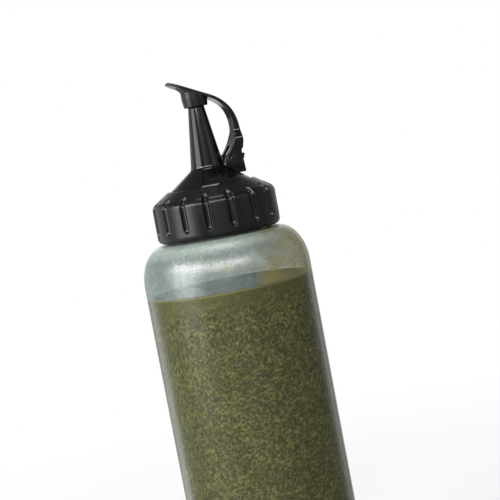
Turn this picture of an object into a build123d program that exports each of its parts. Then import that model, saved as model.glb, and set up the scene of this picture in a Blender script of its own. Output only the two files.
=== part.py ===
from build123d import *
import math
import os

# A squeeze bottle for sauce, with a screw collar, a cone nozzle and a flip cap.
# Z is the bottle's axis, the base stands on Z = 0, and the cap's hinge lies
# towards +X with its pin along Y. Lengths are millimetres, angles degrees.

# ---- Driving dimensions ----

# Bottle: a straight wall, an elliptical shoulder, a flat land and a neck.
body_diameter = 60.4
body_wall = 1.1
base_thickness = 1.4
heel_radius = 4.5          # rounding between the base and the wall
stand_width = 3.7          # flat ring that the bottle stands on
punt_height = 2.2          # hollow inside that ring
wall_top = 131.4           # height at which the shoulder starts
shoulder_rise = 14.0
shoulder_land = 3.3        # flat ring between the shoulder and the neck
neck_diameter = 35.0       # at the root of the thread
neck_wall = 2.1
neck_height = 10.2
neck_root_fillet = 0.8
neck_rim_fillet = 0.4

# Sauce, level with the bottle upright.
sauce_drop = 3.9           # from the top of the straight wall
sauce_gap = 0.05           # film between the sauce and the wall

# Seal between the neck's rim and the nozzle's flange.
seal_thickness = 1.2
seat_gap = 0.1             # between faces that clamp on each other

# Nozzle: a plug in the neck, a flange, a throat that rises through the collar,
# a flared foot and a conical spout.
plug_clearance = 0.3
plug_depth = 3.0
flange_inset = 0.2         # inside the neck's outer face
flange_thickness = 1.6
throat_inset = 0.35        # inside the plug's outer face
throat_wall = 1.4
foot_inset = 0.65          # inside the throat's outer face
foot_bevel = 0.7
foot_sink = 0.05           # below the collar's rim
spout_root_diameter = 12.0
flare_rise = 5.85
flare_wall = 1.8
spout_wall = 1.3
spout_root_fillet = 1.8
spout_length = 22.25
tip_diameter = 5.74
tip_fillet = 0.4
tip_land = 0.67            # flat ring round the countersink
orifice_diameter = 3.0
orifice_land = 1.2
countersink_depth = 0.7

# Screw collar.
thread_room = 1.5          # round the neck, for the thread
collar_wall = 3.3
collar_lift = 0.6          # above the bottle's land
collar_corner_rise = 1.0   # above the nozzle's flange
mouth_play = 0.35          # round the nozzle's throat
collar_cone_rise = 4.75
collar_cone_wall = 2.6
collar_land_width = 2.0    # ring that presses on the flange
collar_top_rounding = 2.2
collar_bottom_rounding = 1.4
collar_edge_rounding = 0.35
flute_count = 16
flute_radius = 1.15        # the groove's round section
flute_foot = 2.9           # from the collar's bottom to the groove's end
flute_reach = 2.2          # along the cone, measured inwards from the corner
flute_phase = 2.1          # where the flutes stop when the collar is tight

# Hinge. Reaches are along X from the pin, and rises and drops are along Z.
hinge_reach = 3.4          # from the root of the spout to the pin
pin_diameter = 2.0
pin_head_diameter = 3.6
pin_head_height = 0.45
pin_running_clearance = 0.06
pin_press_clearance = 0.01
bracket_width = 4.4
bracket_nose_radius = 2.6
bracket_lip_reach = 4.6    # stop lip at the bracket's back
bracket_lip_rise = 1.75
bracket_lip_height = 0.45
bracket_lip_rounding = 0.25
bracket_waist = 3.85       # the back, under the lip
bracket_heel_reach = 4.1
bracket_heel_drop = 4.85
bracket_heel_rounding = 0.4
cheek_radius = 2.75
cheek_span = 10.6          # over both cheeks
cheek_gap = 0.2            # on each side of the bracket
cheek_lift = 0.1           # above the nozzle's flare

# Flip cap: the plate runs from the thumb tab over the cup and becomes the arm.
plate_slope = 26.0
plate_thickness = 1.05
tab_reach = 8.9            # from the spout's axis
tab_width = 9.2
crown_reach = 4.0          # where the plate starts to curve down, from the axis
crown_rise = 3.7           # above the spout's tip
arm_back_reach = 4.4
arm_thickness = 2.45
arm_width = 6.8
arm_back_rise = 8.9        # top of the arm's straight back
arm_front_rise = 12.2      # where the arm is thinnest
arm_neck_drop = 2.0        # from the spout's tip to where the arm widens
arm_edge_fillet = 0.45
heel_reach = 3.8           # corner where the foot's back turns in to the cheeks
heel_rise = 3.95
shank_rise = 6.5           # foot of the straight back, and top of the wide sides
waist_rise = 11.5          # where the wide foot has narrowed to the arm
notch_reach = 3.1         # step between the heel and the cheeks
notch_rise = 3.1
toe_reach = 2.6            # front corner of the foot
toe_rise = 2.25
toe_angle = 46.0
slot_play = 0.3            # round the bracket as the cap swings
relief_reach = 1.4         # where the slot opens through the foot's back

# Sweeps: how far each end of a curve of the cap keeps its direction.
crown_sweep = 7.6          # back of the arm
back_sweep = 8.9
toe_sweep = 4.6            # front of the arm, below and above its thinnest place
shin_sweep = 3.6
front_sweep = 6.3
plate_sweep = 5.6
waist_sweep = 3.0          # sides of the arm
neck_sweep = 2.0

# Cup under the plate, and the soft plug in it.
cup_lap = 0.2              # how far the cup comes down over the tip
cup_play = 0.43            # round the tip
cup_depth = 3.0
cup_wall = 1.35
cup_mouth_wall = 0.95
cup_flare_height = 3.0
cup_brow_rise = 1.9        # above the crown, where the cup flares into the tab
cup_brow_reach = 1.5
cup_brow_rounding = 1.2
cup_mouth_rounding = 0.3
plug_seal_gap = 0.05
plug_dome_height = 0.3
plug_dome_diameter = 3.4

# ---- Diameters, heights and places that follow from them ----

shoulder_run = (body_diameter - neck_diameter) / 2 - shoulder_land
punt_radius = body_diameter / 2 - heel_radius - stand_width
sauce_level = wall_top - sauce_drop
land_height = wall_top + shoulder_rise
neck_top = land_height + neck_height

neck_bore = neck_diameter - 2 * neck_wall
plug_diameter = neck_bore - 2 * plug_clearance
flange_diameter = neck_diameter - 2 * flange_inset
throat_diameter = plug_diameter - 2 * throat_inset
throat_bore = throat_diameter - 2 * throat_wall
foot_diameter = throat_diameter - 2 * foot_inset
collar_bore = neck_diameter + 2 * thread_room
collar_diameter = collar_bore + 2 * collar_wall
collar_mouth = throat_diameter + 2 * mouth_play

flange_bottom = neck_top + seat_gap + seal_thickness
flange_top = flange_bottom + flange_thickness
collar_bottom = land_height + collar_lift
collar_corner = flange_top + collar_corner_rise
collar_top = collar_corner + collar_cone_rise
collar_slope = 2 * collar_cone_rise / (collar_diameter - collar_mouth)

foot_z = collar_top - foot_sink
spout_root_z = foot_z + flare_rise
spout_bore = spout_root_diameter - 2 * spout_wall
flare_slope = 2 * flare_rise / (foot_diameter - spout_root_diameter)
flare_inner_top = spout_root_z - flare_wall + spout_wall * flare_slope
flare_inner_bottom = foot_z - flare_wall + (foot_diameter - throat_bore) / 2 * flare_slope
tip_z = spout_root_z + spout_length
countersink_diameter = tip_diameter - 2 * tip_land

hinge_x = spout_root_diameter / 2 + hinge_reach
hinge_lift = (cheek_radius + cheek_lift) * math.hypot(1, flare_slope)
hinge_z = spout_root_z - hinge_reach * flare_slope + hinge_lift
slot_width = bracket_width + 2 * cheek_gap
lip_radius = math.hypot(bracket_lip_reach, bracket_lip_rise)
heel_corner_radius = math.hypot(bracket_heel_reach, bracket_heel_drop)

arm_back = hinge_x + arm_back_reach
crown_z = tip_z + crown_rise
tab_top = crown_z + (crown_reach + tab_reach) * math.tan(math.radians(plate_slope))
cup_bore = tip_diameter + 2 * cup_play
cup_diameter = cup_bore + 2 * cup_wall
cup_mouth_z = tip_z - cup_lap
cup_ceiling = cup_mouth_z + cup_depth


# ---- Helpers ----

def turned(corners):
    """Ring or disc about Z, from (diameter, height, rounding) corners."""
    points = [(diameter / 2, height) for diameter, height, _ in corners]
    roundings = [rounding for _, _, rounding in corners]
    outline = FilletPolyline(*points, radius=roundings, close=True)
    return revolve(Plane.XZ * make_face(outline), Axis.Z)


def across(outline, width):
    """Slab of the given width along Y, centred, from an outline in X and Z."""
    return extrude(Plane.XZ * make_face(outline), amount=width / 2, both=True)


def hinge_rod(diameter, length):
    """Rod along Y about the hinge axis."""
    return Pos(hinge_x, 0, hinge_z) * Rot(90, 0, 0) * Cylinder(diameter / 2, length)


def dome_radius(half_width, rise):
    """Radius of the ball that makes a dome of this half width and rise."""
    return (half_width ** 2 + rise ** 2) / (2 * rise)


def toward(start, angle, distance):
    """Point at a distance from start, in the direction of the angle."""
    turn = math.radians(angle)
    return (start[0] + distance * math.cos(turn), start[1] + distance * math.sin(turn))


# ---- Bottle and what it holds ----

def bottle_form(wall, floor, neck_radius, top):
    """The bottle's outer form, drawn in by a wall and raised by a floor."""
    radius = body_diameter / 2 - wall
    heel = heel_radius - wall
    shoulder_centre = (body_diameter / 2 - shoulder_run, wall_top)
    land = land_height - wall
    punt_sphere = dome_radius(punt_radius, punt_height)
    punt_angle = math.degrees(math.asin(punt_radius / punt_sphere))
    outline = [
        Line((0, top), (0, floor + punt_height)),
        CenterArc((0, floor + punt_height - punt_sphere), punt_sphere, 90, -punt_angle),
        Line((punt_radius, floor), (radius - heel, floor)),
        CenterArc((radius - heel, floor + heel), heel, -90, 90),
        Line((radius, floor + heel), (radius, wall_top)),
        EllipticalCenterArc(
            shoulder_centre, shoulder_run - wall, shoulder_rise - wall, arc_size=90),
        Line((shoulder_centre[0], land), (neck_radius, land)),
        Line((neck_radius, land), (neck_radius, top)),
        Line((neck_radius, top), (0, top)),
    ]
    return revolve(Plane.XZ * make_face(outline), Axis.Z)


def make_bottle():
    outside = bottle_form(0, 0, neck_diameter / 2, neck_top)
    neck_edges = outside.edges().filter_by(GeomType.CIRCLE).filter_by(
        lambda edge: abs(edge.radius - neck_diameter / 2) < neck_rim_fillet)
    outside = fillet(neck_edges.sort_by(Axis.Z)[-1], neck_rim_fillet)
    root = outside.edges().filter_by(GeomType.CIRCLE).filter_by(
        lambda edge: abs(edge.radius - neck_diameter / 2) < neck_rim_fillet / 2)
    outside = fillet(root.sort_by(Axis.Z)[0], neck_root_fillet)
    inside = bottle_form(body_wall, base_thickness, neck_bore / 2, neck_top)
    return outside - inside


def make_sauce():
    wall = body_wall + sauce_gap
    cavity = bottle_form(wall, base_thickness + sauce_gap, neck_bore / 2, neck_top)
    return split(cavity, bisect_by=Plane.XY.offset(sauce_level), keep=Keep.BOTTOM)


def make_neck_seal():
    bottom = neck_top + seat_gap
    bore = plug_diameter + 2 * seat_gap
    return turned([(bore, bottom, 0), (neck_diameter, bottom, 0),
                   (neck_diameter, flange_bottom, 0), (bore, flange_bottom, 0)])


# ---- Nozzle ----

def nozzle_shell():
    """Plug, flange, throat, flare and spout, all one turned wall."""
    land_top = tip_z - countersink_depth
    plug_bottom = neck_top - plug_depth
    return turned([
        (throat_bore, plug_bottom, 0),
        (plug_diameter, plug_bottom, 0),
        (plug_diameter, flange_bottom, 0),
        (flange_diameter, flange_bottom, 0),
        (flange_diameter, flange_top, 0),
        (throat_diameter, flange_top, 0),
        (throat_diameter, foot_z - foot_bevel, 0),
        (foot_diameter, foot_z, 0),
        (spout_root_diameter, spout_root_z, spout_root_fillet),
        (tip_diameter, tip_z, tip_fillet),
        (countersink_diameter, tip_z, 0),
        (orifice_diameter, land_top, 0),
        (orifice_diameter, land_top - orifice_land, 0),
        (spout_bore, flare_inner_top, 0),
        (throat_bore, flare_inner_bottom, 0),
    ])


def nozzle_bore():
    """Everything inside the nozzle's wall, which the bracket must not enter."""
    return turned([
        (0, flange_top, 0),
        (throat_bore, flange_top, 0),
        (throat_bore, flare_inner_bottom, 0),
        (spout_bore, flare_inner_top, 0),
        (orifice_diameter, tip_z, 0),
        (0, tip_z, 0),
    ])


def hinge_bracket():
    """Central lug for the pin, with a stop lip at its back."""
    root = spout_root_z - flare_rise / 2
    nose = hinge_x - bracket_nose_radius
    lip = hinge_x + bracket_lip_reach
    corners = [
        (nose, root, 0),
        (nose, hinge_z, 0),
        (hinge_x, hinge_z + bracket_nose_radius, 0),
        (lip, hinge_z + bracket_lip_rise, bracket_lip_rounding),
        (lip, hinge_z + bracket_lip_rise - bracket_lip_height, bracket_lip_rounding),
        (hinge_x + bracket_waist, hinge_z - bracket_lip_height, 0),
        (hinge_x + bracket_heel_reach, hinge_z - bracket_heel_drop, bracket_heel_rounding),
        (hinge_x, hinge_z - bracket_heel_drop, 0),
        (nose, root - bracket_nose_radius, 0),
    ]
    outline = FilletPolyline(
        *[(x, z) for x, z, _ in corners], radius=[rounding for _, _, rounding in corners], close=True)
    lug = across(outline, bracket_width)
    return lug + hinge_rod(2 * bracket_nose_radius, bracket_width)


def make_nozzle():
    nozzle = nozzle_shell() + (hinge_bracket() - nozzle_bore())
    return nozzle - hinge_rod(pin_diameter + 2 * pin_running_clearance, bracket_width + cheek_gap)


# ---- Screw collar ----

def collar_ring():
    press = flange_top + seat_gap
    land = collar_mouth + 2 * collar_land_width
    ceiling = collar_top - collar_cone_wall
    return turned([
        (collar_bore, collar_bottom, collar_edge_rounding),
        (collar_diameter, collar_bottom, collar_bottom_rounding),
        (collar_diameter, collar_corner, collar_top_rounding),
        (collar_mouth, collar_top, collar_edge_rounding),
        (collar_mouth, press, 0),
        (land, press, 0),
        (land, ceiling - (land - collar_mouth) / 2 * collar_slope, 0),
        (collar_bore, ceiling - (collar_bore - collar_mouth) / 2 * collar_slope, 0),
    ])


def flute():
    """Round-bottomed groove up the skirt and over the corner on to the cone."""
    radius = collar_diameter / 2
    path = Plane.XZ * FilletPolyline(
        (radius, collar_bottom + flute_foot + flute_radius),
        (radius, collar_corner),
        (radius - flute_reach, collar_corner + flute_reach * collar_slope),
        radius=collar_top_rounding)
    section = Plane(origin=path @ 0, z_dir=path % 0) * Circle(flute_radius)
    groove = sweep(section, path=path)
    return groove + Pos(path @ 0) * Sphere(flute_radius) + Pos(path @ 1) * Sphere(flute_radius)


def make_screw_collar():
    groove = flute()
    grooves = [Rot(0, 0, flute_phase + 360 / flute_count * i) * groove for i in range(flute_count)]
    return collar_ring() - grooves


# ---- Flip cap and what rides on it ----

def cap_side():
    """Outline of plate, arm and foot, seen along the pin."""
    crown = (crown_reach, crown_z)
    crown_under = toward(crown, -90 - plate_slope, plate_thickness)
    tab_tip = (-tab_reach, tab_top)
    tab_under = toward(tab_tip, -90 - plate_slope, plate_thickness)
    back_top = (arm_back, hinge_z + arm_back_rise)
    back_bottom = (arm_back, hinge_z + shank_rise)
    front = (arm_back - arm_thickness, hinge_z + arm_front_rise)
    heel = (hinge_x + heel_reach, hinge_z + heel_rise)
    notch = (hinge_x + notch_reach, hinge_z + notch_rise)
    toe = (hinge_x - toe_reach, hinge_z + toe_rise)
    return [
        Line(tab_under, tab_tip),
        Line(tab_tip, crown),
        Bezier(crown, toward(crown, -plate_slope, crown_sweep),
               toward(back_top, 90, back_sweep), back_top),
        Line(back_top, back_bottom),
        Line(back_bottom, heel),
        Line(heel, notch),
        Line(notch, (hinge_x + cheek_radius, hinge_z)),
        CenterArc((hinge_x, hinge_z), cheek_radius, 0, -180),
        Line((hinge_x - cheek_radius, hinge_z), toe),
        Bezier(toe, toward(toe, toe_angle, toe_sweep), toward(front, -90, shin_sweep), front),
        Bezier(front, toward(front, 90, front_sweep),
               toward(crown_under, -plate_slope, plate_sweep), crown_under),
        Line(crown_under, tab_under),
    ]


def cap_front_half():
    """Half of the cap's outline seen along X: wide cheeks, slim arm, round tab."""
    below = hinge_z - 2 * cheek_radius
    foot = (cheek_span / 2, hinge_z + shank_rise)
    waist = (arm_width / 2, hinge_z + waist_rise)
    neck = (arm_width / 2, tip_z - arm_neck_drop)
    plate = (tab_width / 2, crown_z - plate_thickness)
    tab_round = tab_width / 2 * math.tan(math.radians(plate_slope))
    tab = (tab_width / 2, tab_top - tab_round)
    return [
        Line((0, below), (cheek_span / 2, below)),
        Line((cheek_span / 2, below), foot),
        Bezier(foot, toward(foot, 90, waist_sweep), toward(waist, -90, waist_sweep), waist),
        Line(waist, neck),
        Bezier(neck, toward(neck, 90, neck_sweep), toward(plate, -90, neck_sweep), plate),
        Line(plate, tab),
        EllipticalCenterArc((0, tab[1]), tab_width / 2, tab_round, arc_size=90),
        Line((0, tab_top), (0, below)),
    ]


def cap_bar():
    side = across(cap_side(), 2 * cheek_span)
    half = extrude(Plane.YZ * make_face(cap_front_half()), amount=2 * arm_back, both=True)
    bar = side & (half + mirror(half, Plane.XZ))
    rims = bar.edges().filter_by(lambda edge: abs(edge.center().Y) > arm_edge_fillet)
    return fillet(rims, arm_edge_fillet)


def swing_slot():
    """Room in the arm's foot for the bracket, at every angle of the cap."""
    nose_room = hinge_rod(2 * (lip_radius + slot_play), slot_width)
    relief_length = arm_back_reach - relief_reach + slot_play
    relief_height = heel_corner_radius + slot_play
    relief_centre = Pos(
        hinge_x + relief_reach + relief_length / 2, 0, hinge_z + relief_height / 2)
    return nose_room + relief_centre * Box(relief_length, slot_width, relief_height)


def cup_body():
    """Tapered cup, still solid, that ends inside the plate."""
    brow_z = crown_z + cup_brow_rise
    brow_diameter = cup_diameter + 2 * cup_brow_reach
    above = brow_z + 2 * cup_brow_reach
    cup = turned([
        (0, cup_mouth_z, 0),
        (cup_bore + 2 * cup_mouth_wall, cup_mouth_z, cup_mouth_rounding),
        (cup_diameter, cup_mouth_z + cup_flare_height, 0),
        (cup_diameter, brow_z, cup_brow_rounding),
        (brow_diameter, brow_z + cup_brow_reach, 0),
        (brow_diameter, above, 0),
        (0, above, 0),
    ])
    slope = math.radians(plate_slope)
    up = Vector(math.sin(slope), 0, math.cos(slope))
    inside_plate = Vector(crown_reach, 0, crown_z) - up * plate_thickness / 2
    return split(cup, bisect_by=Plane(origin=inside_plate, z_dir=up), keep=Keep.BOTTOM)


def disc(diameter, bottom, top):
    return turned([(0, bottom, 0), (diameter, bottom, 0), (diameter, top, 0), (0, top, 0)])


def make_flip_cap():
    cavity = disc(cup_bore, cup_mouth_z, cup_ceiling)
    pin_hole = hinge_rod(pin_diameter + 2 * pin_press_clearance, 2 * cheek_span)
    return cap_bar() + cup_body() - cavity - swing_slot() - pin_hole


def make_tip_seal():
    bottom = tip_z + plug_seal_gap
    plug = disc(cup_bore - 2 * plug_seal_gap, bottom, cup_ceiling)
    radius = dome_radius(plug_dome_diameter / 2, plug_dome_height)
    ball = Pos(0, 0, bottom - plug_dome_height + radius) * Sphere(radius)
    return plug + split(ball, bisect_by=Plane.XY.offset(bottom), keep=Keep.BOTTOM)


def make_hinge_pin():
    pin = hinge_rod(pin_diameter, cheek_span + pin_head_height)
    head = hinge_rod(pin_head_diameter, pin_head_height)
    for side in (-1, 1):
        pin = pin + Pos(0, side * (cheek_span + pin_head_height) / 2, 0) * head
    return pin


# ---- Parts ----

os.makedirs("parts", exist_ok=True)
nodes = {
    "bottle": make_bottle(),
    "sauce": make_sauce(),
    "neck_seal": make_neck_seal(),
    "nozzle": make_nozzle(),
    "screw_collar": make_screw_collar(),
    "flip_cap": make_flip_cap(),
    "tip_seal": make_tip_seal(),
    "hinge_pin": make_hinge_pin(),
}
for name, shape in nodes.items():
    export_step(shape, f"parts/{name}.step")
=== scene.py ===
from math import asin, atan2, ceil, cos, hypot, pi, radians, sin, sqrt, tan

import bmesh
import bpy
from mathutils import Matrix, Vector, noise


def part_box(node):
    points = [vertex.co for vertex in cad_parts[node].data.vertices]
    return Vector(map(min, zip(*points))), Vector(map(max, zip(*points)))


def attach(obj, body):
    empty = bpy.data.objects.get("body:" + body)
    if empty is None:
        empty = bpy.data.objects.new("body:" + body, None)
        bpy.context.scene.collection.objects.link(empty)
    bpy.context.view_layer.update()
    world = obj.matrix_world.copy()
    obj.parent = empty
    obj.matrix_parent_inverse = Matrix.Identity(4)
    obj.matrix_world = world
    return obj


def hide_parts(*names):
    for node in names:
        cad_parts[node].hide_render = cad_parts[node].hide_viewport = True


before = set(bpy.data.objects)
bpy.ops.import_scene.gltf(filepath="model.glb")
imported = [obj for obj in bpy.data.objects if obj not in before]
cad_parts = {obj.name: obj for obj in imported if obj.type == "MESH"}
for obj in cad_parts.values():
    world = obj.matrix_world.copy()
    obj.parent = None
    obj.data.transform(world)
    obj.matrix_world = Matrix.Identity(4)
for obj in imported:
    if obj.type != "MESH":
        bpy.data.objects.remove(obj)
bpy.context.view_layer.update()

bl_info = {
    "name": "Dispensing sauce bottle",
    "version": (1, 0, 0),
    "blender": (4, 5, 0),
    "location": "3D View > Sidebar > Bottle",
    "description": "A squeeze bottle of chunky sauce with a screw collar, a nozzle and a flip cap",
    "category": "Object",
}

MM = 0.001
TURN = 2 * pi
WELD = 0.001 * MM       # vertices nearer than this become one
TOUCH = 0.01 * MM       # a point this near to a face lies on it
THREAD_RUN_IN = 0.07    # turns over which a thread's end rises to its full height
WHITE = (1, 1, 1, 1)


# ---- Properties ----

def size(description, millimetres):
    """A length that is given in millimetres and kept in metres."""
    return lambda name: bpy.props.FloatProperty(
        name=name, description=description, default=millimetres * MM,
        precision=5, unit="LENGTH", subtype="DISTANCE")


def bearing(description, degrees):
    return lambda name: bpy.props.FloatProperty(
        name=name, description=description, default=radians(degrees), subtype="ANGLE")


def turns(description, value):
    return lambda name: bpy.props.FloatProperty(
        name=name, description=description, default=value, min=0)


def count(description, value):
    return lambda name: bpy.props.IntProperty(
        name=name, description=description, default=value, min=1)


def share(description, value):
    return lambda name: bpy.props.FloatProperty(
        name=name, description=description, default=value, min=0, max=1, subtype="FACTOR")


def power(description, watts):
    return lambda name: bpy.props.FloatProperty(
        name=name, description=description, default=watts, min=0, unit="POWER")


def colour(description, value):
    return lambda name: bpy.props.FloatVectorProperty(
        name=name, description=description, default=value, min=0, max=1, size=3, subtype="COLOR")


def named(group):
    """Makes each setting of a group and names it after its attribute."""
    for name, setting in group.__annotations__.items():
        group.__annotations__[name] = setting(name.replace("_", " ").capitalize())
    return group


@named
class BottleSizes(bpy.types.PropertyGroup):
    wall: size("Thickness of the bottle's wall", 1.1)
    floor: size("Thickness of the bottle's base", 1.4)
    heel_radius: size("Rounding between base and wall", 4.5)
    stand_width: size("Ring that the bottle stands on", 3.7)
    punt_height: size("Rise of the hollow in the base", 2.2)
    wall_top: size("Height where the shoulder starts", 131.4)
    shoulder_rise: size("Height of the rounded shoulder", 14.0)
    shoulder_land: size("Flat ring between shoulder and neck", 3.3)
    neck_diameter: size("Neck at its thread's root", 35.0)
    neck_wall: size("Thickness of the neck", 2.1)
    neck_root: size("Rounding at the foot of the neck", 0.8)
    neck_rim: size("Rounding at the neck's mouth", 0.4)
    thread_pitch: size("Lift of the thread in one turn", 4.233)
    thread_height: size("Height of the neck's thread", 1.15)
    thread_crest: size("Width of the thread's top", 0.8)
    thread_flank: size("Width of the thread's slopes", 0.75)
    thread_start: size("Thread's end above the shoulder land", 2.2)
    thread_turns: turns("Turns of the neck's thread", 1.5)


@named
class SauceSizes(bpy.types.PropertyGroup):
    meniscus: size("How far the sauce creeps up the wall", 0.7)
    meniscus_width: size("Width of that creep, from the wall", 2.2)
    lumps: size("Height of the bits in the surface", 0.45)
    lump_spacing: size("Distance between the bits", 2.4)


@named
class CollarSizes(bpy.types.PropertyGroup):
    wall: size("Thickness of the collar's skirt", 3.3)
    cone_rise: size("Height of the collar's cone", 4.75)
    cone_wall: size("Thickness of the cone", 2.6)
    mouth_play: size("Gap round the nozzle's throat", 0.35)
    land_width: size("Ring that presses on the flange", 2.0)
    press_gap: size("Gap above the nozzle's flange", 0.1)
    top_rounding: size("Rounding between skirt and cone", 3.1)
    bottom_rounding: size("Rounding at the skirt's foot", 2.0)
    rim_rounding: size("Rounding of the cone's rim", 0.6)
    edge_rounding: size("Rounding of the small edges", 0.35)
    flute_radius: size("Round section of each groove", 1.15)
    flute_run_out: size("Length of a groove's sloping end", 2.1)
    flute_lip: size("Soft edge of each groove", 0.22)
    flute_foot: size("From the collar's foot to the groove", 2.9)
    flute_reach: size("Reach of the grooves over the cone", 2.2)
    flute_phase: bearing("First groove when the collar is tight", 2.1)
    flute_count: count("Grooves round the collar", 16)
    thread_height: size("Height of the collar's thread", 1.15)
    thread_crest: size("Width of the thread's top", 0.6)
    thread_flank: size("Width of the thread's slopes", 0.7)
    thread_start: size("Thread's end above the collar's foot", 3.3)
    thread_turns: turns("Turns of the collar's thread", 1.6)


@named
class NozzleSizes(bpy.types.PropertyGroup):
    plug_play: size("Gap inside the neck's bore", 0.3)
    plug_depth: size("Depth of the plug in the neck", 3.0)
    flange_inset: size("Flange inside the neck's outer face", 0.2)
    flange_thickness: size("Thickness of the clamped flange", 1.6)
    throat_inset: size("Throat inside the plug's face", 0.35)
    throat_wall: size("Thickness of the throat", 1.4)
    foot_inset: size("Flare's foot inside the throat", 0.65)
    foot_bevel: size("Bevel under the flare", 0.7)
    foot_sink: size("Flare's foot below the collar's rim", 0.05)
    spout_root: size("Diameter at the spout's root", 12.0)
    flare_rise: size("Height of the flare", 5.85)
    flare_wall: size("Thickness of the flare", 1.8)
    spout_length: size("From the flare to the tip", 22.25)
    spout_wall: size("Thickness at the spout's root", 1.3)
    root_rounding: size("Rounding between flare and spout", 1.8)
    tip_diameter: size("Diameter of the spout's tip", 5.74)
    tip_rounding: size("Rounding of the tip's edge", 0.4)
    tip_land: size("Flat ring round the countersink", 0.67)
    orifice: size("Hole that the sauce leaves by", 3.0)
    orifice_land: size("Length of the narrow hole", 1.2)
    countersink: size("Depth of the countersink", 0.7)
    edge_rounding: size("Rounding of the small edges", 0.15)


@named
class HingeSizes(bpy.types.PropertyGroup):
    bracket_width: size("Width of the lug", 4.4)
    nose_radius: size("Round front of the lug", 2.6)
    lip_reach: size("From the pin to the stop lip", 4.6)
    lip_rise: size("Stop lip above the pin", 1.75)
    lip_height: size("Height of the stop lip", 0.45)
    lip_rounding: size("Rounding of the stop lip", 0.25)
    waist_reach: size("From the pin to the lug's waist", 3.85)
    heel_reach: size("From the pin to the lug's heel", 4.1)
    heel_drop: size("Lug's heel below the pin", 4.85)
    heel_rounding: size("Rounding of the lug's heel", 0.4)
    edge_bevel: size("Softened edges of the lug", 0.22)
    pin_diameter: size("Diameter of the hinge pin", 2.0)
    pin_play: size("Gap round the pin in the lug", 0.06)
    head_height: size("Height of the pin's heads", 0.45)
    head_rounding: size("Rounding of the pin's heads", 0.25)


@named
class SealSizes(bpy.types.PropertyGroup):
    ring_play: size("Gap round the nozzle's plug", 0.1)
    edge_rounding: size("Rounding of both seals' edges", 0.2)
    dome_height: size("Bulge of the plug in the cup", 0.3)
    dome_diameter: size("Width of the plug's bulge", 3.4)


@named
class Finishes(bpy.types.PropertyGroup):
    wall_tint: colour("Milky plastic of the bottle", (0.090, 0.120, 0.119))
    # Olive of an oily film above the sauce, laid heavier on the right side, where it is also
    # painted shade.
    wall_oil_and_right_shade: colour("Oily film above the sauce", (0.165, 0.148, 0.044))
    # Painted light: a lighter tint near the neck, as if lit from above, on a wall that is also made
    # milkier there.
    wall_lit_crown: colour("Milkier crown of the wall, by the neck", (0.250, 0.300, 0.270))
    wall_clear: colour("Light that passes the wall", (0.93, 0.95, 0.92))
    crown_start: size("Where the crown starts, above the sauce", 12)
    crown_full: size("Where the crown is full, above the sauce", 16.5)
    wall_veil: share("How much the wall hides where sauce is", 0.035)
    wall_haze: share("How much the wall hides above the sauce", 0.37)
    sauce_deep: colour("Liquid between the herbs", (0.0245, 0.0200, 0.0060))
    sauce_herb: colour("Chopped herbs", (0.085, 0.0755, 0.0180))
    sauce_pale: colour("Palest bits", (0.190, 0.171, 0.055))
    sauce_husk: colour("Dark seeds and husks", (0.036, 0.034, 0.026))
    sauce_oil: colour("Oily liquid at the top", (0.070, 0.058, 0.015))
    sauce_rim: colour("Sauce seen through the wall's edge", (0.060, 0.057, 0.026))
    black: colour("Moulded black of lid and nozzle", (0.0024, 0.0029, 0.0027))
    worn_black: colour("Black where it has been handled", (0.010, 0.0112, 0.0108))
    dust: colour("Specks of dust on the black", (0.06, 0.06, 0.058))
    seal: colour("Soft seals", (0.42, 0.43, 0.42))


@named
class StageSettings(bpy.types.PropertyGroup):
    side_light: power("Large softbox to the left", 5.4)
    front_light: power("Row of three softboxes in front", 36.0)
    top_light: power("Softbox overhead", 1.6)
    fill_light: power("Weak softbox to the right", 0.6)
    room_light: share("Even light from the room", 0.20)
    side_shade: share("Dark of the right side in reflections", 0.75)
    left_shade: share("Dark of the gap on the left in reflections", 0.95)
    floor_radius: size("Radius of the floor", 3000)
    floor_white: share("How white the camera sees the floor", 0.55)
    camera_turn: bearing("Turn of the hinge from the camera", 13.5)
    camera_rise: bearing("Camera above the level", 4.3)
    camera_roll: bearing("Lean of the bottle in the picture", 10.7)
    camera_distance: size("From the camera to the bottle", 550)
    frame_width: size("Width of the picture at the bottle", 180)
    aim_height: size("Height of the picture's centre", 138.1)
    aim_side: size("Picture's centre right of the axis", 9.5)


# The panel's boxes, each a group of settings.
GROUPS = {
    "bottle": BottleSizes, "sauce": SauceSizes, "collar": CollarSizes, "nozzle": NozzleSizes,
    "hinge": HingeSizes, "seals": SealSizes, "finishes": Finishes, "stage": StageSettings,
}


class BottleSettings(bpy.types.PropertyGroup):
    __annotations__ = {
        name: bpy.props.PointerProperty(
            type=group, name=name.capitalize(), description=f"Settings of the {name}")
        for name, group in GROUPS.items()}


def settings():
    return bpy.context.scene.sauce_bottle


# ---- Shapes ----

def rounded(corners, closed=True, step=radians(11)):
    """Outline whose (across, up, rounding) corners are turned into arcs."""
    points = []
    for index, (across, up, radius) in enumerate(corners):
        corner = Vector((across, up))
        if radius == 0 or (not closed and index in (0, len(corners) - 1)):
            points.append(corner)
            continue
        back = (Vector(corners[index - 1][:2]) - corner).normalized()
        ahead = (Vector(corners[(index + 1) % len(corners)][:2]) - corner).normalized()
        half = back.angle(ahead) / 2
        centre = corner + (back + ahead).normalized() * radius / sin(half)
        start = corner + back * radius / tan(half) - centre
        end = corner + ahead * radius / tan(half) - centre
        swing = atan2(start.cross(end), start.dot(end))
        parts = max(2, ceil(abs(swing) / step))
        points += [centre + Matrix.Rotation(swing * k / parts, 2) @ start for k in range(parts + 1)]
    return points


def ellipse(centre, across, up, start, end, parts):
    """Points on an ellipse from one angle to another."""
    angles = [start + (end - start) * k / parts for k in range(parts + 1)]
    return [Vector((centre[0] + across * cos(angle), centre[1] + up * sin(angle)))
            for angle in angles]


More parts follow.
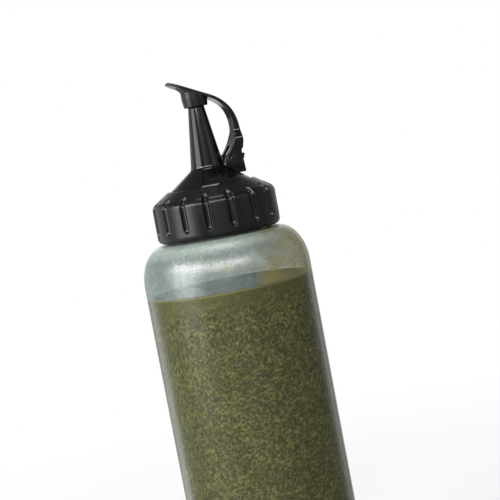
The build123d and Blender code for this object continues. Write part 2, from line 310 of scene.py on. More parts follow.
def divided(points, longest):
    """The same open outline with no stretch longer than asked."""
    finer = []
    for start, end in zip(points, points[1:]):
        parts = max(1, ceil((end - start).length / longest))
        finer += [start.lerp(end, k / parts) for k in range(parts)]
    return finer + [points[-1]]


def turned(points, steps, closed=True):
    """Bmesh of a (radius, height) section that is spun about Z."""
    mesh = bmesh.new()
    section = [mesh.verts.new((point[0], 0, point[1])) for point in points]
    follow = section[1:] + section[:1] if closed else section[1:]
    edges = [mesh.edges.new(pair) for pair in zip(section, follow)]
    bmesh.ops.spin(mesh, geom=section + edges, cent=(0, 0, 0), axis=(0, 0, 1),
                   angle=TURN, steps=steps, use_merge=True)
    bmesh.ops.remove_doubles(mesh, verts=mesh.verts, dist=WELD)
    bmesh.ops.recalc_face_normals(mesh, faces=mesh.faces)
    return mesh


def slab(points, width):
    """Bmesh of an (X, Z) outline that is as wide as asked along Y, centred."""
    mesh = bmesh.new()
    face = mesh.faces.new([mesh.verts.new((point[0], -width / 2, point[1])) for point in points])
    made = bmesh.ops.extrude_face_region(mesh, geom=[face])
    pushed = [item for item in made["geom"] if isinstance(item, bmesh.types.BMVert)]
    bmesh.ops.translate(mesh, verts=pushed, vec=(0, width, 0))
    bmesh.ops.recalc_face_normals(mesh, faces=mesh.faces)
    return mesh


def bevel(mesh, width, sharper_than, segments):
    """Softens the edges that turn by more than an angle."""
    edges = [edge for edge in mesh.edges
             if len(edge.link_faces) == 2 and edge.calc_face_angle() > sharper_than]
    bmesh.ops.bevel(mesh, geom=edges, offset=width, segments=segments, profile=0.5,
                    affect="EDGES", material=-1, clamp_overlap=True)


def shaded(mesh, sharp_angle=radians(38)):
    """Smooth faces, with the edges sharper than the angle kept crisp."""
    for face in mesh.faces:
        face.smooth = True
    for edge in mesh.edges:
        edge.smooth = len(edge.link_faces) != 2 or edge.calc_face_angle() < sharp_angle


def placed(name, mesh):
    """Object in the scene that holds the bmesh."""
    shaded(mesh)
    data = bpy.data.meshes.new(name)
    mesh.to_mesh(data)
    mesh.free()
    thing = bpy.data.objects.new(name, data)
    bpy.context.scene.collection.objects.link(thing)
    return thing


def combine(thing, mesh, operation):
    """Joins, cuts or keeps the common part of an object and a bmesh."""
    tool = placed("tool", mesh)
    step = thing.modifiers.new("combine", "BOOLEAN")
    step.object = tool
    step.operation = operation
    step.solver = "EXACT"
    bpy.context.view_layer.update()
    depsgraph = bpy.context.evaluated_depsgraph_get()
    made = bpy.data.meshes.new_from_object(thing.evaluated_get(depsgraph))
    thing.modifiers.clear()
    result = bmesh.new()
    result.from_mesh(made)
    bmesh.ops.remove_doubles(result, verts=result.verts, dist=2 * WELD)
    bmesh.ops.dissolve_degenerate(result, edges=result.edges, dist=2 * WELD)
    shaded(result)
    result.to_mesh(thing.data)
    result.free()
    bpy.data.meshes.remove(made)
    bpy.data.meshes.remove(tool.data)


def finish_piece(thing, body, slot, material, *nodes):
    """Gives a piece its material, its body and the CAD nodes it stands for."""
    thing.data.materials.clear()
    thing.data.materials.append(material)
    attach(thing, body)
    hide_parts(*nodes)


def eased(done):
    """Smooth step from 0 to 1."""
    done = min(1, max(0, done))
    return done * done * (3 - 2 * done)


def thread_lift(part, foot, angle, height):
    """How far a part's right-hand thread stands out at an angle and a height."""
    pitch = settings().bottle.thread_pitch
    start = foot + part.thread_start
    best = 0
    for whole in range(ceil(part.thread_turns)):
        along = angle % TURN / TURN + whole
        off = abs(height - start - pitch * along)
        side = eased((part.thread_crest / 2 + part.thread_flank - off) / part.thread_flank)
        end = eased(min(along, part.thread_turns - along) / THREAD_RUN_IN)
        best = max(best, side * end)
    return part.thread_height * best


# ---- Places that several pieces share ----

def heights():
    """Heights and radii that follow from the sizes, as in the CAD model."""
    bottle, nozzle = settings().bottle, settings().nozzle
    plug = bottle.neck_diameter / 2 - bottle.neck_wall - nozzle.plug_play
    flange_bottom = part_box("neck_seal")[1].z
    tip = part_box("nozzle")[1].z
    flare_foot = tip - nozzle.spout_length - nozzle.flare_rise
    return {
        "land": bottle.wall_top + bottle.shoulder_rise,
        "neck_top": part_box("bottle")[1].z,
        "plug": plug,
        "throat": plug - nozzle.throat_inset,
        "flange": bottle.neck_diameter / 2 - nozzle.flange_inset,
        "flange_bottom": flange_bottom,
        "flange_top": flange_bottom + nozzle.flange_thickness,
        "collar_top": flare_foot + nozzle.foot_sink,
        "flare_foot": flare_foot,
        "flare_top": flare_foot + nozzle.flare_rise,
        "tip": tip,
    }


def facing(turn, rise):
    """Direction from the bottle at a bearing from straight in front and a rise above the level."""
    return Vector((-sin(turn) * cos(rise), -cos(turn) * cos(rise), sin(rise)))


def rightward():
    """Level direction to the camera's right."""
    turn = settings().stage.camera_turn
    return Vector((cos(turn), -sin(turn), 0))


# ---- Materials ----

def operator_pair(operation):
    """One arithmetic operator, and its reflected form for a plain number on the left."""
    return (lambda self, other: self.maths(operation, self, other),
            lambda self, other: self.maths(operation, other, self))


class Number:
    """A socket that carries a number, on which arithmetic adds Math nodes."""

    def __init__(self, finish, socket):
        self.finish = finish
        self.socket = socket

    def maths(self, operation, first, second=0.0):
        return self.finish.number("Math", {0: first, 1: second}, operation=operation)

    __add__, __radd__ = operator_pair("ADD")
    __sub__, __rsub__ = operator_pair("SUBTRACT")
    __mul__, __rmul__ = operator_pair("MULTIPLY")
    __truediv__, __rtruediv__ = operator_pair("DIVIDE")
    __pow__, __rpow__ = operator_pair("POWER")

    def kept(self):
        """Held between 0 and 1."""
        return self.maths("MAXIMUM", self.maths("MINIMUM", self, 1.0), 0.0)


class Finish:
    """One material, or the world, and its nodes."""

    def __init__(self, name, world=None):
        self.material = world or bpy.data.materials.new(name)
        self.material.use_nodes = True
        self.tree = self.material.node_tree
        self.tree.nodes.clear()
        self.place = self.node("TexCoord").outputs["Object"]

    def node(self, kind, values=None, **chosen):
        """A node whose settings are chosen first, then the values and links of its sockets."""
        made = self.tree.nodes.new("ShaderNode" + kind)
        for name, value in chosen.items():
            setattr(made, name, value)
        for name, value in (values or {}).items():
            socket = value.socket if isinstance(value, Number) else value
            if isinstance(socket, bpy.types.NodeSocket):
                self.tree.links.new(socket, made.inputs[name])
            else:
                made.inputs[name].default_value = socket
        return made

    def number(self, kind, values, output=0, **chosen):
        """The number that a new node gives."""
        return Number(self, self.node(kind, values, **chosen).outputs[output])

    def shader(self, kind, values):
        return self.node(kind, values).outputs[0]

    def stretched(self, scale, turn=(0, 0, 0)):
        """Object coordinates in which a pattern is turned and drawn out."""
        values = {"Vector": self.place, "Scale": scale, "Rotation": turn}
        return self.node("Mapping", values, vector_type="TEXTURE").outputs[0]

    def grain(self, spacing, detail=3.0, roughness=0.55, distortion=0.0, place=None):
        """Noise from 0 to 1 whose features are about as far apart as asked."""
        return self.number("TexNoise", {
            "Vector": place or self.place, "Scale": 1 / spacing, "Detail": detail,
            "Roughness": roughness, "Distortion": distortion})

    def between(self, value, low, high):
        """0 below low, 1 above high and smooth between them."""
        return self.number("MapRange", {
            "Value": value, "From Min": low, "From Max": high}, interpolation_type="SMOOTHSTEP")

    def spots(self, spacing, low, high, **noise):
        """1 where the noise is above high, 0 where it is below low."""
        return self.between(self.grain(spacing, **noise), low, high)

    def axis(self, letter, vector=None):
        """X, Y or Z of a vector, which is the place on the object if none is given."""
        return self.number("SeparateXYZ", {"Vector": vector or self.place}, letter)

    def mix(self, factor, first, second):
        """Colour that goes from the first to the second."""
        first, second = (value if isinstance(value, bpy.types.NodeSocket) else (*value, 1)
                         for value in (first, second))
        return self.node("Mix", {0: factor, 6: first, 7: second}, data_type="RGBA").outputs[2]

    def blend(self, factor, first, second):
        """Surface that goes from the first shader to the second."""
        return self.shader("MixShader", {0: factor, 1: first, 2: second})

    def bump(self, height, distance, strength):
        return self.node("Bump", {
            "Height": height, "Distance": distance, "Strength": strength}).outputs[0]

    def background_rays(self, *kinds):
        """1 for the kinds of ray that see the white background, and 0 for the rest."""
        path = self.node("LightPath")
        return sum(Number(self, path.outputs[f"Is {kind} Ray"]) for kind in kinds).kept()

    def lit_side(self, direction):
        """1 for lit directions, less on the right and in the gap left of the backdrop."""
        stage = settings().stage
        right = self.number(
            "VectorMath", {0: direction, 1: rightward()}, "Value", operation="DOT_PRODUCT")
        left = 0 - right
        right_shade = self.between(right, 0.05, 0.5) * stage.side_shade
        gap = self.between(left, 0.24, 0.36) * (1 - self.between(left, 0.47, 0.60))
        return (1 - right_shade) * (1 - gap * stage.left_shade)

    def done(self, surface):
        self.node("OutputMaterial", {"Surface": surface})
        return self.material


# Roughness, index of refraction, the texture's spacing and strength, uneven polish and handling.
BLACKS = {
    "collar_black": (0.25, 1.33, 0.22 * MM, 0.35, 0.08, 0.35),
    "nozzle_black": (0.08, 1.36, 0.35 * MM, 0.04, 0.03, 0.25),
    "cap_black": (0.11, 1.36, 0.25 * MM, 0.3, 0.06, 0.4),
    "pin_black": (0.15, 1.4, 0.3 * MM, 0.3, 0.05, 0.3),
}


def moulded_black(name, satin_before=None):
    """Black moulded plastic: a fine texture, uneven polish and a few rubbed places.

    What lies before satin_before along X is more matt than the rest.
    """
    roughness, ior, texture, grain, polish, handled = BLACKS[name]
    look = settings().finishes
    finish = Finish(name)
    patches = finish.grain(9 * MM, detail=4.0)
    fine = finish.grain(texture, detail=2.0, roughness=0.6)
    streaks = finish.grain(1.6 * MM, detail=3.0, place=finish.stretched((1, 1, 4)))
    rubbed = finish.between(patches * 0.7 + streaks * 0.3, 0.48, 0.72)
    dust = finish.spots(0.35 * MM, 0.71, 0.78, detail=1.0)
    tone = finish.mix(rubbed * handled, look.black, look.worn_black)
    tone = finish.mix(dust * 0.25, tone, look.dust)
    matt = rubbed * 0.05 + dust * 0.1
    if satin_before is not None:
        matt = matt + finish.between(satin_before - finish.axis("X"), 0.0, 2.5 * MM) * 0.17
    return finish.done(finish.shader("BsdfPrincipled", {
        "Base Color": tone,
        "Roughness": (roughness + (patches - 0.5) * polish + matt).kept(),
        "IOR": ior,
        "Normal": finish.bump(fine, 0.012 * MM, grain),
    }))


def squeeze_wall_finish():
    """Milky squeeze plastic: clear where sauce wets it, hazy and streaked above it, with painted
    light on the crown by the neck and painted olive shade on the right side.
    """
    look = settings().finishes
    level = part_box("sauce")[1].z
    finish = Finish("squeeze_wall")
    height = finish.axis("Z")
    blotches = finish.grain(13 * MM, detail=5.0, roughness=0.6, distortion=0.8)
    runs = finish.grain(3.2 * MM, detail=3.0, place=finish.stretched((1, 1, 3)))
    mottle = finish.grain(1.5 * MM, detail=5.0, roughness=0.75)
    drops = finish.spots(1.3 * MM, 0.60, 0.70, detail=2.0)
    empty = finish.between(height, level - 0.3 * MM, level + 0.5 * MM)
    film = (blotches * 0.5 + runs * 0.2 + mottle * 0.5 - 0.6) * 1.3
    edgewise = finish.number("LayerWeight", {"Blend": 0.5}, "Facing")
    haze = (look.wall_haze + film + drops * 0.2) * empty
    # Painted light near the neck: the wall is tinted lighter, as if lit from above, and also made
    # more opaque.
    lit_crown = finish.between(height, level + look.crown_start, level + look.crown_full)
    rim = finish.between(edgewise, 0.66, 0.78) * (1 - empty)
    veil = (look.wall_veil + haze + lit_crown * 0.2 + edgewise ** 7 * 1.1 * empty + rim * 0.8).kept()
    # Partly a real oily film in blotches, partly painted shade: the lean toward +X gives the
    # bottle's right side its olive tone.
    oil_spread_and_right_shade = finish.axis("X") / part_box("bottle")[1].x * 0.35 + blotches * 1.1 + mottle * 0.4
    oily = finish.between(oil_spread_and_right_shade, 0.70, 0.96) * empty
    thin, thick = (tuple(part * tone for tone in look.wall_tint) for part in (0.76, 1.22))
    tint = finish.mix(finish.between(mottle, 0.38, 0.62), thin, thick)
    # Oily film colour, which on the right side is painted olive shade.
    tint = finish.mix(oily, tint, look.wall_oil_and_right_shade)
    # Painted light: the lighter crown tint, weaker where the oily film lies.
    tint = finish.mix(lit_crown * (1 - oily * 0.75), tint, look.wall_lit_crown)
    tint = finish.mix(rim, tint, look.sauce_rim)
    ripples = finish.grain(14 * MM, detail=2.0)
    residue = (runs * 0.25 + drops * 0.2 + mottle * 0.3) * empty
    normal = finish.bump(ripples + residue, 0.3 * MM, 0.5)
    milk = finish.shader("BsdfPrincipled", {
        "Base Color": tint, "Roughness": 0.36 + blotches * 0.12, "IOR": 1.4, "Normal": normal})
    clear = finish.shader("BsdfTransparent", {"Color": (*look.wall_clear, 1)})
    gloss = finish.shader("BsdfGlossy", {
        "Color": WHITE, "Roughness": 0.20 + blotches * 0.12 + empty * 0.02, "Normal": normal})
    smeared = empty * (0.012 + mottle * 0.045) * (1 - oily * 0.4)
    mirror = (0.007 + smeared + edgewise ** 6 * 0.75).kept()
    return finish.done(finish.blend(mirror, finish.blend(veil, clear, milk), gloss))


def sauce_finish():
    """Chunky green sauce: chopped herbs in an oily liquid, with a clear layer on top."""
    look = settings().finishes
    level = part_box("sauce")[1].z
    finish = Finish("green_sauce")
    height = finish.axis("Z")
    shreds = 0.0
    for turn in ((0.5, 0.3, 0.2), (1.5, 0.4, 0.9), (0.9, 1.3, 2.1)):
        drawn = finish.stretched((1, 1, 2.8), turn)
        strands = finish.spots(0.80 * MM, 0.57, 0.63, detail=1.5, place=drawn)
        shreds = strands.maths("MAXIMUM", strands, shreds)
    curls = 0.0
    for turn, cut in (((0.2, 1.0, 0.4), 1.0), ((1.4, 0.3, 1.9), 1.3)):
        place = finish.stretched((1, 1, 1.5), turn)
        line = finish.grain(1.1 * MM, detail=1.0, distortion=0.4, place=place) - 0.5
        broken = finish.spots(cut * MM, 0.49, 0.56, detail=1.0, place=place)
        curl = (1 - finish.between(line.maths("ABSOLUTE", line), 0.03, 0.08)) * broken
        curls = curl.maths("MAXIMUM", curl, curls)
    pulp = finish.spots(0.9 * MM, 0.34, 0.66, detail=5.0, roughness=0.7)
    shade = finish.spots(6 * MM, 0.38, 0.62, detail=4.0)
    body = (pulp * 0.55 + shreds * 0.45 + curls * 0.2).kept()
    herbs = finish.mix(body, look.sauce_deep, look.sauce_herb)
    herbs = finish.mix(curls * (0.4 + pulp * 0.5), herbs, look.sauce_pale)
    husks = finish.spots(2.1 * MM, 0.60, 0.68, detail=2.0)
    herbs = finish.mix(husks * 0.5, herbs, look.sauce_husk)
    herbs = finish.mix((1 - shade) * 0.3, herbs, look.sauce_deep)
    oily = finish.between(height, level - 7.5 * MM, level - 2.5 * MM) * (1 - body * 0.5)
    tone = finish.mix(oily * 0.85, herbs, look.sauce_oil)
    rim = finish.between(height, level - 1.0 * MM, level - 0.5 * MM)
    tone = finish.mix(rim * 0.75, tone, look.sauce_pale)
    return finish.done(finish.shader("BsdfPrincipled", {
        "Base Color": tone,
        "Roughness": (0.45 + (1 - oily) * 0.2 - curls * 0.1).kept(),
        "IOR": 1.15,
        "Normal": finish.bump(body + curls * 0.5, 0.2 * MM, 0.6),
    }))


def seal_finish():
    """Soft matt sealing rubber with a little bloom."""
    look = settings().finishes
    finish = Finish("soft_seal")
    bloom = finish.grain(2.5 * MM, detail=4.0)
    tone = finish.mix(bloom, look.seal, tuple(0.8 * part for part in look.seal))
    return finish.done(finish.shader("BsdfPrincipled", {
        "Base Color": tone,
        "Roughness": 0.62 + bloom * 0.2,
        "Normal": finish.bump(finish.grain(0.3 * MM), 0.02 * MM, 0.5),
    }))


def floor_finish():
    """Pale floor that takes the bottle's shadow and fades to white away from it."""
    stage = settings().stage
    finish = Finish("floor")
    outward = finish.node("VectorMath", {0: finish.place}, operation="NORMALIZE").outputs[0]
    shade = finish.background_rays("Glossy", "Transmission") * (1 - finish.lit_side(outward))
    seen = finish.background_rays("Camera", "Glossy", "Transmission") * (1 - shade)
    away = finish.number("VectorMath", {0: finish.place}, "Value", operation="LENGTH")
    white = stage.floor_white + finish.between(away, 0.12, 0.45) * (1 - stage.floor_white)
    pale = finish.shader("BsdfDiffuse", {"Color": (0.8, 0.8, 0.8, 1)})
    dark = finish.shader("BsdfDiffuse", {"Color": (0, 0, 0, 1)})
    glow = finish.shader("Emission", {"Color": WHITE, "Strength": 1.0})
    return finish.done(finish.blend(seen * white, finish.blend(shade, pale, dark), glow))


def room():
    """World with an even light, and a backdrop that only seen, mirrored and bent rays meet."""
    world = bpy.data.worlds.new("room")
    finish = Finish("room", world)
    light = finish.shader("Background", {
        "Color": WHITE, "Strength": settings().stage.room_light})
    white = finish.shader("Background", {"Color": WHITE, "Strength": 1.0})
    direction = finish.node("TexCoord").outputs["Generated"]
    level = 1 - finish.between(finish.axis("Z", direction), 0.3, 0.65)
    backdrop = level * finish.lit_side(direction)
    mirrored = finish.background_rays("Glossy", "Transmission") * backdrop
    seen = (finish.background_rays("Camera") + mirrored).kept()
    finish.node("OutputWorld", {"Surface": finish.blend(seen, light, white)})
    return world


# ---- Pieces ----

def bottle_skin(inset, floor):
    """Half outline from the base's centre to the shoulder's top, drawn in by a wall."""
    bottle = settings().bottle
    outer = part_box("bottle")[1].x
    radius = outer - inset
    heel = bottle.heel_radius - inset
    shoulder_run = outer - bottle.neck_diameter / 2 - bottle.shoulder_land
    stand = outer - bottle.heel_radius - bottle.stand_width
    dome = (stand ** 2 + bottle.punt_height ** 2) / (2 * bottle.punt_height)
    sweep = asin(stand / dome)
    quarter = pi / 2
    wall = [Vector((radius, floor + heel)), Vector((radius, bottle.wall_top))]
    return [
        *ellipse((0, floor + bottle.punt_height - dome), dome, dome,
                 quarter, quarter - sweep, parts=14),
        *ellipse((radius - heel, floor + heel), heel, heel, -quarter, 0, parts=10),
        *divided(wall, longest=12 * MM)[1:-1],
        *ellipse((outer - shoulder_run, bottle.wall_top), shoulder_run - inset,
                 bottle.shoulder_rise - inset, 0, quarter, parts=22),
    ]


def bottle_section():
    """Whole section of the bottle's wall, with the neck's rows close enough for a thread."""
    bottle = settings().bottle
    place = heights()
    neck = bottle.neck_diameter / 2
    bore = neck - bottle.neck_wall
    outside = bottle_skin(0, 0)
    inside = bottle_skin(bottle.wall, bottle.floor)
    neck_outline = rounded([
        (outside[-1].x, place["land"], 0),
        (neck, place["land"], bottle.neck_root),
        (neck, place["neck_top"], bottle.neck_rim),
        (bore, place["neck_top"], bottle.neck_rim),
        (bore, place["land"] - bottle.wall, bottle.neck_root),
        (inside[-1].x, place["land"] - bottle.wall, 0),
    ], closed=False)
    return outside + divided(neck_outline, longest=0.22 * MM)[1:-1] + inside[::-1]


class BOTTLE_OT_bottle(bpy.types.Operator):
    """Turn the squeeze bottle and raise the thread on its neck"""
    bl_idname = "sauce_bottle.bottle"
    bl_label = "Squeeze bottle"

    def execute(self, context):
        bottle = settings().bottle
        land = heights()["land"]
        neck_skin = bottle.neck_diameter / 2 - bottle.neck_rim / 2
        mesh = turned(bottle_section(), steps=160, closed=False)
        for vert in mesh.verts:
            reach = vert.co.xy.length
            if vert.co.z > land + bottle.neck_root and reach > neck_skin:
                angle = atan2(vert.co.y, vert.co.x)
                vert.co.xy *= (reach + thread_lift(bottle, land, angle, vert.co.z)) / reach
        piece = placed("squeeze_bottle", mesh)
        finish_piece(piece, "bottle_body", "squeeze_wall", squeeze_wall_finish(), "bottle")
        return {"FINISHED"}


class BOTTLE_OT_sauce(bpy.types.Operator):
    """Fill the bottle with chunky sauce"""
    bl_idname = "sauce_bottle.sauce"
    bl_label = "Sauce"

    def execute(self, context):
        sauce = settings().sauce
        low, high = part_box("sauce")
        wall = [Vector((high.x, low.z + settings().bottle.heel_radius)), Vector((high.x, high.z))]
        skin = bottle_skin(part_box("bottle")[1].x - high.x, low.z)
        base = [point for point in skin if point.y < wall[0].y]
        side = divided(wall, longest=6 * MM)
        top = divided([wall[1], Vector((0, high.z))], longest=0.7 * MM)[1:]
        mesh = turned(base + side + top, steps=200, closed=False)
        for vert in mesh.verts:
            if vert.co.z < high.z - TOUCH:
                continue
            flat = eased((high.x - vert.co.xy.length) / sauce.meniscus_width)
            place = vert.co / sauce.lump_spacing
            lump = noise.noise(place) + 0.5 * noise.noise(place * 2.3)
            vert.co.z += (lump - 1) * sauce.lumps * flat - sauce.meniscus * flat
        piece = placed("sauce_filling", mesh)
        finish_piece(piece, "bottle_body", "green_sauce", sauce_finish(), "sauce")
        return {"FINISHED"}


def collar_section():
    """Section of the collar, the height of the corner over its skirt and the slope of its cone."""
    collar = settings().collar
    place = heights()
    low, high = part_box("screw_collar")
    radius = high.x
    bore = radius - collar.wall
    mouth = place["throat"] + collar.mouth_play
    land = mouth + collar.land_width
    top = place["collar_top"]
    corner = top - collar.cone_rise
    slope = collar.cone_rise / (radius - mouth)
    press = place["flange_top"] + collar.press_gap
    ceiling = top - collar.cone_wall
    skin = rounded([
        (bore, low.z, collar.edge_rounding),
        (radius, low.z, collar.bottom_rounding),
        (radius, corner, collar.top_rounding),
        (mouth, top, collar.rim_rounding),
        (mouth, press, 0),
        (land, press, 0),
        (land, ceiling - (land - mouth) * slope, 0),
        (bore, ceiling - (bore - mouth) * slope, 0),
    ])
    return skin, corner, slope


def closer_near(points, places, near, close, far):
    """Divides a closed outline finely near some places and coarsely elsewhere."""
    finer = []
    for start, end in zip(points, points[1:] + points[:1]):
        for point in divided([start, end], close)[:-1]:
            last = finer[-1] if finer else None
            gap = (point - last).length if last else far
            wanted = close if any((point - place).length < near for place in places) else far
            if point == start or gap >= wanted * 0.999:    # a hair less, for rounding
                finer.append(point)
    return finer


class BOTTLE_OT_collar(bpy.types.Operator):
    """Turn the screw collar, sink its flutes and raise the thread inside it"""
    bl_idname = "sauce_bottle.collar"
    bl_label = "Screw collar"

    def execute(self, context):
        collar = settings().collar
        low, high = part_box("screw_collar")
        radius = high.x
        bore = radius - collar.wall
        skin, corner, slope = collar_section()
        run_out = collar.flute_run_out
        foot = Vector((radius, low.z + collar.flute_foot + run_out))
        head = Vector((radius - collar.flute_reach, corner + collar.flute_reach * slope))
        up_cone = (head - Vector((radius, corner))).normalized()
        head -= up_cone * (run_out - collar.flute_radius)
        points = closer_near(
            skin, [foot, head], near=run_out + 0.5 * MM, close=0.12 * MM, far=0.55 * MM)
        columns = flute_columns(collar)
        sector = TURN / collar.flute_count
        steps = collar.flute_count * len(columns)
        mesh = turned(points, steps)
        for vert in mesh.verts:
            reach = vert.co.xy.length
            index = round(atan2(vert.co.y, vert.co.x) / TURN * steps) % steps
            offset, in_groove = columns[index % len(columns)]
            edge = (collar.flute_radius + collar.flute_lip) / reach
            turn = offset / reach if in_groove else edge + offset * (sector - 2 * edge)
            angle = collar.flute_phase + sector * (index // len(columns)) + turn
            here = Vector((reach, vert.co.z))
            if in_groove and outside_collar(here, radius, corner, slope):
                beyond = max(0, foot.y - here.y, (here - head).dot(up_cone))
                off = hypot(offset, beyond * collar.flute_radius / run_out)
                normal = skin_normal(here, radius, corner, slope, collar.top_rounding)
                here -= flute_depth(off, collar) * normal
            elif abs(reach - bore) < TOUCH:
                here.x -= thread_lift(collar, low.z, angle, here.y)
            vert.co = (here.x * cos(angle), here.x * sin(angle), here.y)
        bmesh.ops.recalc_face_normals(mesh, faces=mesh.faces)
        piece = placed("screw_collar_fluted", mesh)
        finish = moulded_black("collar_black")
        finish_piece(piece, "collar_body", "collar_black", finish, "screw_collar")
        return {"FINISHED"}


def flute_columns(collar):
    """The mesh's columns in one sector, each with True in the groove and False on the land.

    A column is placed in the groove by metres from its middle, and on the land by its share.
    """
    half = [collar.flute_radius * sin(radians(a)) for a in (16, 32, 47, 60, 70, 78)]
    half += [collar.flute_radius + collar.flute_lip * part for part in (0, 0.13, 0.45, 1)]
    groove = [-offset for offset in reversed(half)] + [0.0] + half
    return [(offset, True) for offset in groove] + [(part / 7, False) for part in range(1, 7)]


def outside_collar(here, radius, corner, slope):
    """True on the collar's skirt and rounded corner, and on the cone outside its mouth."""
    rounded_part, skin_depth, cone_reach = 2.6 * MM, 1.6 * MM, 6 * MM
    on_skirt = abs(here.x - radius) < 2 * TOUCH
    cone = corner + (radius - here.x) * slope
    return on_skirt or (here.y > corner - rounded_part and here.y > cone - skin_depth
                        and here.x > radius - cone_reach)


def skin_normal(here, radius, corner, slope, rounding):
    """Outward direction of the collar's skin in its section."""
    cone = atan2(1, slope)
    start = corner - rounding * tan(cone / 2)
    if here.y <= start:
        return Vector((1, 0))
    swing = min(atan2(here.y - start, here.x - radius + rounding), cone)
    return Vector((cos(swing), sin(swing)))


def flute_depth(off, collar):
    """Depth of a groove at a distance from its middle line."""
    lip = collar.flute_lip
    if off >= collar.flute_radius + lip:
        return 0
    if off >= collar.flute_radius:
        return lip - sqrt(max(0, lip ** 2 - (collar.flute_radius + lip - off) ** 2))
    return max(lip, sqrt(collar.flute_radius ** 2 - off ** 2))


def nozzle_corners():
    """Outer, then inner, corners of the nozzle's wall as (radius, height, rounding)."""
    nozzle = settings().nozzle
    place = heights()
    edge = nozzle.edge_rounding
    tip, foot, root = place["tip"], place["flare_foot"], place["flare_top"]
    plug_foot = place["neck_top"] - nozzle.plug_depth
    throat = place["throat"]
    bore = throat - nozzle.throat_wall
    foot_radius = throat - nozzle.foot_inset
    spout = nozzle.spout_root / 2
    slope = nozzle.flare_rise / (foot_radius - spout)
    hole_top = tip - nozzle.countersink
    outer = [
        (bore, plug_foot, edge),
        (place["plug"], plug_foot, edge * 3),
        (place["plug"], place["flange_bottom"], 0),
        (place["flange"], place["flange_bottom"], edge),
        (place["flange"], place["flange_top"], edge),
        (throat, place["flange_top"], edge),
        (throat, foot - nozzle.foot_bevel, edge),
        (foot_radius, foot, edge),
        (spout, root, nozzle.root_rounding),
        (nozzle.tip_diameter / 2, tip, nozzle.tip_rounding),
        (nozzle.tip_diameter / 2 - nozzle.tip_land, tip, edge),
        (nozzle.orifice / 2, hole_top, edge),
        (nozzle.orifice / 2, hole_top - nozzle.orifice_land, edge),
    ]
    inner = [
        (spout - nozzle.spout_wall, root - nozzle.flare_wall + nozzle.spout_wall * slope,
         nozzle.root_rounding / 2),
        (bore, foot - nozzle.flare_wall + (foot_radius - bore) * slope, edge * 3),
    ]
    return outer, inner


def hinge_centre():
    """The pin's place in X and Z, from the pin's own box."""
    low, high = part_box("hinge_pin")
    return Vector(((low.x + high.x) / 2, (low.z + high.z) / 2))


def rod(diameter, length, rounding=0.0):
    """Bmesh of a rod along Y about the hinge's axis."""
    mesh = turned(rounded([
        (0, -length / 2, 0), (diameter / 2, -length / 2, rounding),
        (diameter / 2, length / 2, rounding), (0, length / 2, 0),
    ], closed=False), steps=48, closed=False)
    centre = hinge_centre()
    turn = Matrix.Translation((centre.x, 0, centre.y)) @ Matrix.Rotation(pi / 2, 4, "X")
    bmesh.ops.transform(mesh, matrix=turn, verts=mesh.verts)
    return mesh


def hinge_lug():
    """Bmesh of the lug that stands on the flare and holds the pin."""
    hinge = settings().hinge
    flare = heights()["flare_top"] - settings().nozzle.flare_rise / 2
    pin = hinge_centre()
    nose = hinge.nose_radius
    front = pin.x - nose
    full_round, slight_round = nose * 0.98, nose * 0.08
    lip = pin.x + hinge.lip_reach
    lip_top = pin.y + hinge.lip_rise
    heel = pin.y - hinge.heel_drop
    mesh = slab(rounded([
        (front, flare, 0),
        (front, pin.y + nose, full_round),
        (pin.x + nose * 0.1, pin.y + nose, slight_round),
        (lip, lip_top, hinge.lip_rounding),
        (lip, lip_top - hinge.lip_height, hinge.lip_rounding * 0.8),
        (pin.x + hinge.waist_reach, pin.y - hinge.lip_height, hinge.lip_rounding * 2),
        (pin.x + hinge.heel_reach, heel, hinge.heel_rounding),
        (pin.x, heel, 0),
        (front, flare - nose, 0),
    ]), hinge.bracket_width)
    bevel(mesh, hinge.edge_bevel, sharper_than=radians(60), segments=3)
    return mesh


class BOTTLE_OT_nozzle(bpy.types.Operator):
    """Turn the nozzle and join the hinge's lug to its back"""
    bl_idname = "sauce_bottle.nozzle"
    bl_label = "Nozzle"

    def execute(self, context):
        hinge = settings().hinge
        place = heights()
        outer, inner = nozzle_corners()
        piece = placed("cone_nozzle", turned(rounded(outer + inner), steps=144))
        passage = [Vector(corner[:2]) for corner in reversed(inner)]
        passage.insert(0, Vector((0, place["flange_top"])))
        passage += [Vector((outer[-1][0], place["tip"])), Vector((0, place["tip"]))]
        lug = placed("hinge_lug", hinge_lug())
        combine(lug, turned(passage, steps=144, closed=False), "DIFFERENCE")
        outside_lug = bmesh.new()
        outside_lug.from_mesh(lug.data)
        bpy.data.meshes.remove(lug.data)
        combine(piece, outside_lug, "UNION")
        right_through = hinge.bracket_width * 1.4
        drill = rod(hinge.pin_diameter + 2 * hinge.pin_play, right_through)
        combine(piece, drill, "DIFFERENCE")
        finish = moulded_black("nozzle_black")
        finish_piece(piece, "nozzle_body", "nozzle_black", finish, "nozzle")
        return {"FINISHED"}


class BOTTLE_OT_flip_cap(bpy.types.Operator):
    """Give the flip cap its moulded finish"""
    bl_idname = "sauce_bottle.flip_cap"
    bl_label = "Flip cap"

    def execute(self, context):
        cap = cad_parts["flip_cap"]
        cap.data.materials[0] = moulded_black("cap_black", satin_before=7 * MM)
        return {"FINISHED"}


class BOTTLE_OT_pin(bpy.types.Operator):
    """Make the hinge pin with its two heads"""
    bl_idname = "sauce_bottle.pin"
    bl_label = "Hinge pin"

    def execute(self, context):
        hinge = settings().hinge
        low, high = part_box("hinge_pin")
        span = high.y - low.y
        head = high.z - low.z
        shank = rod(hinge.pin_diameter, span - hinge.head_height * 0.5)
        piece = placed("hinge_pin_headed", shank)
        for side in (-1, 1):
            cap = rod(head, hinge.head_height, hinge.head_rounding)
            shift = (0, side * (span - hinge.head_height) / 2, 0)
            bmesh.ops.translate(cap, verts=cap.verts, vec=shift)
            combine(piece, cap, "UNION")
        finish = moulded_black("pin_black")
        finish_piece(piece, "cap_body", "pin_black", finish, "hinge_pin")
        return {"FINISHED"}


